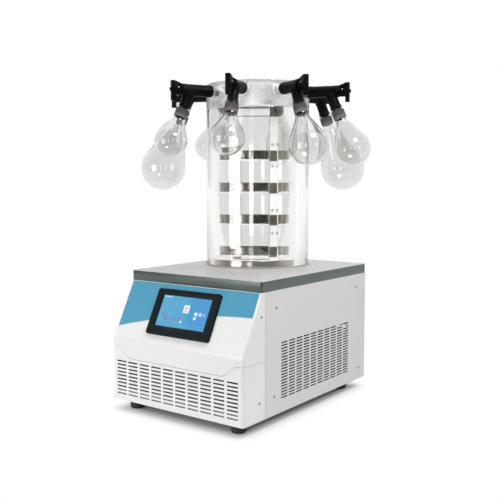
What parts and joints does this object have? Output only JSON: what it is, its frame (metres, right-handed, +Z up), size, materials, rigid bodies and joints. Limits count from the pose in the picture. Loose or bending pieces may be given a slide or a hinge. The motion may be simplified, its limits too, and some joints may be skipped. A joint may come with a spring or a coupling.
{
  "type": "freeze dryer",
  "caption": "Bench-top manifold freeze dryer: refrigerated base with a touch screen, clear drying chamber with a tray rack, and a clear manifold head with rubber valves and glass flasks.",
  "frame": {"origin": "on the bench, under the centre of the whole machine's box", "axes": "+Z up, -Y towards the touch screen, +X to the right of someone who faces the screen"},
  "size_m": [0.6744, 0.7608, 0.8972],
  "materials": {
    "white_paint": "satin",
    "grey_paint": "fine texture",
    "blue_print": "satin printed film",
    "brushed_steel": "brushed",
    "bright_steel": "polished",
    "zinc_steel": "zinc plated",
    "black_plastic": "fine texture",
    "screen_glass": "gloss",
    "black_rubber": "satin",
    "foot_rubber": "matt",
    "clear_acrylic": "polished",
    "clear_glass": "polished",
    "gasket_rubber": "matt",
    "foam": "cast foam",
    "copper": "drawn tube",
    "black_paint": "semi gloss",
    "fin_metal": "finned",
    "brass": "satin"
  },
  "bodies": {
    "machine": {"base_pan": "zinc_steel", "chamber_cylinder": "clear_acrylic", "chamber_seal": "black_rubber", "cold_trap_pot": "bright_steel", "compressor": "black_paint", "condenser": "fin_metal", "discharge_pipe": "copper", "drain_valve": "brass", "fan_shroud": "black_paint", "flask_1": "clear_glass", "flask_2": "clear_glass", "flask_3": "clear_glass", "flask_4": "clear_glass", "flask_5": "clear_glass", "flask_6": "clear_glass", "flask_7": "clear_glass", "flask_8": "clear_glass", "foot_front_left": "foot_rubber", "foot_front_right": "foot_rubber", "foot_rear_left": "foot_rubber", "foot_rear_right": "foot_rubber", "head_gasket": "gasket_rubber", "left_side_panel": "grey_paint", "lower_front_grille": "white_paint", "manifold_head": "clear_acrylic", "power_inlet": "black_plastic", "printed_band": "blue_print", "rear_panel": "grey_paint", "right_side_panel": "grey_paint", "screen_bezel": "black_plastic", "screen_glass": "screen_glass", "suction_pipe": "foam", "top_plate": "brushed_steel", "trap_insulation": "foam", "tray_1": "bright_steel", "tray_2": "bright_steel", "tray_3": "bright_steel", "tray_4": "bright_steel", "tray_rack": "bright_steel", "upper_front_cover": "white_paint", "vacuum_port": "brushed_steel", "valve_body_1": "black_rubber", "valve_body_2": "black_rubber", "valve_body_3": "black_rubber", "valve_body_4": "black_rubber", "valve_body_5": "black_rubber", "valve_body_6": "black_rubber", "valve_body_7": "black_rubber", "valve_body_8": "black_rubber"},
    "knob_1": {"valve_knob_1": "black_rubber"},
    "knob_2": {"valve_knob_2": "black_rubber"},
    "knob_3": {"valve_knob_3": "black_rubber"},
    "knob_4": {"valve_knob_4": "black_rubber"},
    "knob_5": {"valve_knob_5": "black_rubber"},
    "knob_6": {"valve_knob_6": "black_rubber"},
    "knob_7": {"valve_knob_7": "black_rubber"},
    "knob_8": {"valve_knob_8": "black_rubber"},
    "fan": {"fan_rotor": "black_plastic"},
    "rocker": {"power_rocker": "black_plastic"},
    "lever": {"drain_lever": "zinc_steel"}
  },
  "joints": [
    {"name": "valve_turn_1", "type": "hinge", "parent": "machine", "child": "knob_1", "pos_m": [0.09735, -0.19026, 0.8719], "axis": [0.3256, -0.9455, 0], "range_deg": [0, 90]},
    {"name": "valve_turn_2", "type": "hinge", "parent": "machine", "child": "knob_2", "pos_m": [0.23579, -0.06778, 0.8719], "axis": [0.8988, -0.4384, 0], "range_deg": [0, 90]},
    {"name": "valve_turn_3", "type": "hinge", "parent": "machine", "child": "knob_3", "pos_m": [0.24707, 0.11672, 0.8719], "axis": [0.9455, 0.3256, 0], "range_deg": [0, 90]},
    {"name": "valve_turn_4", "type": "hinge", "parent": "machine", "child": "knob_4", "pos_m": [0.12459, 0.25515, 0.8719], "axis": [0.4384, 0.8988, 0], "range_deg": [0, 90]},
    {"name": "valve_turn_5", "type": "hinge", "parent": "machine", "child": "knob_5", "pos_m": [-0.0599, 0.26644, 0.8719], "axis": [-0.3256, 0.9455, 0], "range_deg": [0, 90]},
    {"name": "valve_turn_6", "type": "hinge", "parent": "machine", "child": "knob_6", "pos_m": [-0.19834, 0.14396, 0.8719], "axis": [-0.8988, 0.4384, 0], "range_deg": [0, 90]},
    {"name": "valve_turn_7", "type": "hinge", "parent": "machine", "child": "knob_7", "pos_m": [-0.20962, -0.04053, 0.8719], "axis": [-0.9455, -0.3256, 0], "range_deg": [0, 90]},
    {"name": "valve_turn_8", "type": "hinge", "parent": "machine", "child": "knob_8", "pos_m": [-0.08715, -0.17897, 0.8719], "axis": [-0.4384, -0.8988, 0], "range_deg": [0, 90]},
    {"name": "fan_spin", "type": "hinge", "parent": "machine", "child": "fan", "pos_m": [0.08872, -0.31191, 0.124], "axis": [0, 1, 0], "continuous": true},
    {"name": "rocker_tilt", "type": "hinge", "parent": "machine", "child": "rocker", "pos_m": [-0.09128, 0.23059, 0.115], "axis": [1, 0, 0], "range_deg": [0, 14]},
    {"name": "drain_turn", "type": "hinge", "parent": "machine", "child": "lever", "pos_m": [0.09872, 0.24509, 0.0945], "axis": [0, 0, 1], "range_deg": [0, 90]}
  ]
}
